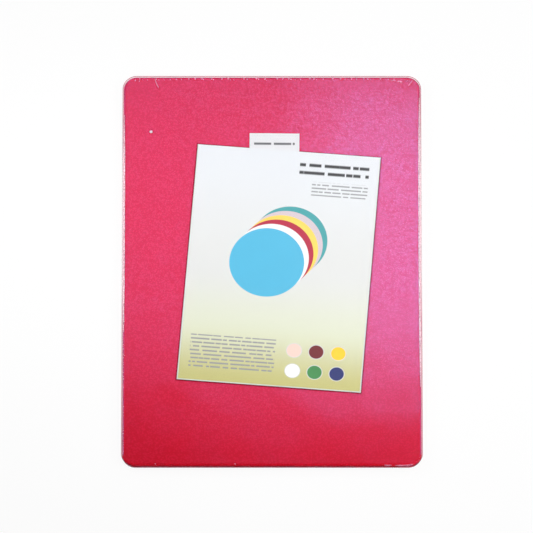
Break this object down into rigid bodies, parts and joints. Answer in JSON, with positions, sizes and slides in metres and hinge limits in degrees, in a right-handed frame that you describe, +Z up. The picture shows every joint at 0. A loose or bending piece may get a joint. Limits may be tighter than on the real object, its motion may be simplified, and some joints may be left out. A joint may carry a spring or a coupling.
{
  "type": "cutting board",
  "caption": "Flat rectangular red polyethylene cutting board with rounded corners and rims, shrink-wrapped in clear film over a paper insert and a size tag.",
  "frame": {"origin": "middle of the underside, on the surface that the wrapped board lies on", "axes": "+Z up out of the board's face, +Y along its length towards the end with the size tag, +X across its width"},
  "size_m": [0.3532, 0.503, 0.0095],
  "materials": {
    "red_polyethylene": "satin",
    "clear_film": "polished",
    "printed_paper": "satin",
    "tag_paper": "matte"
  },
  "bodies": {
    "root": {"board": "red_polyethylene", "front_film": "clear_film", "back_film": "clear_film", "insert_sheet": "printed_paper", "size_tag": "tag_paper"}
  },
  "joints": []
}
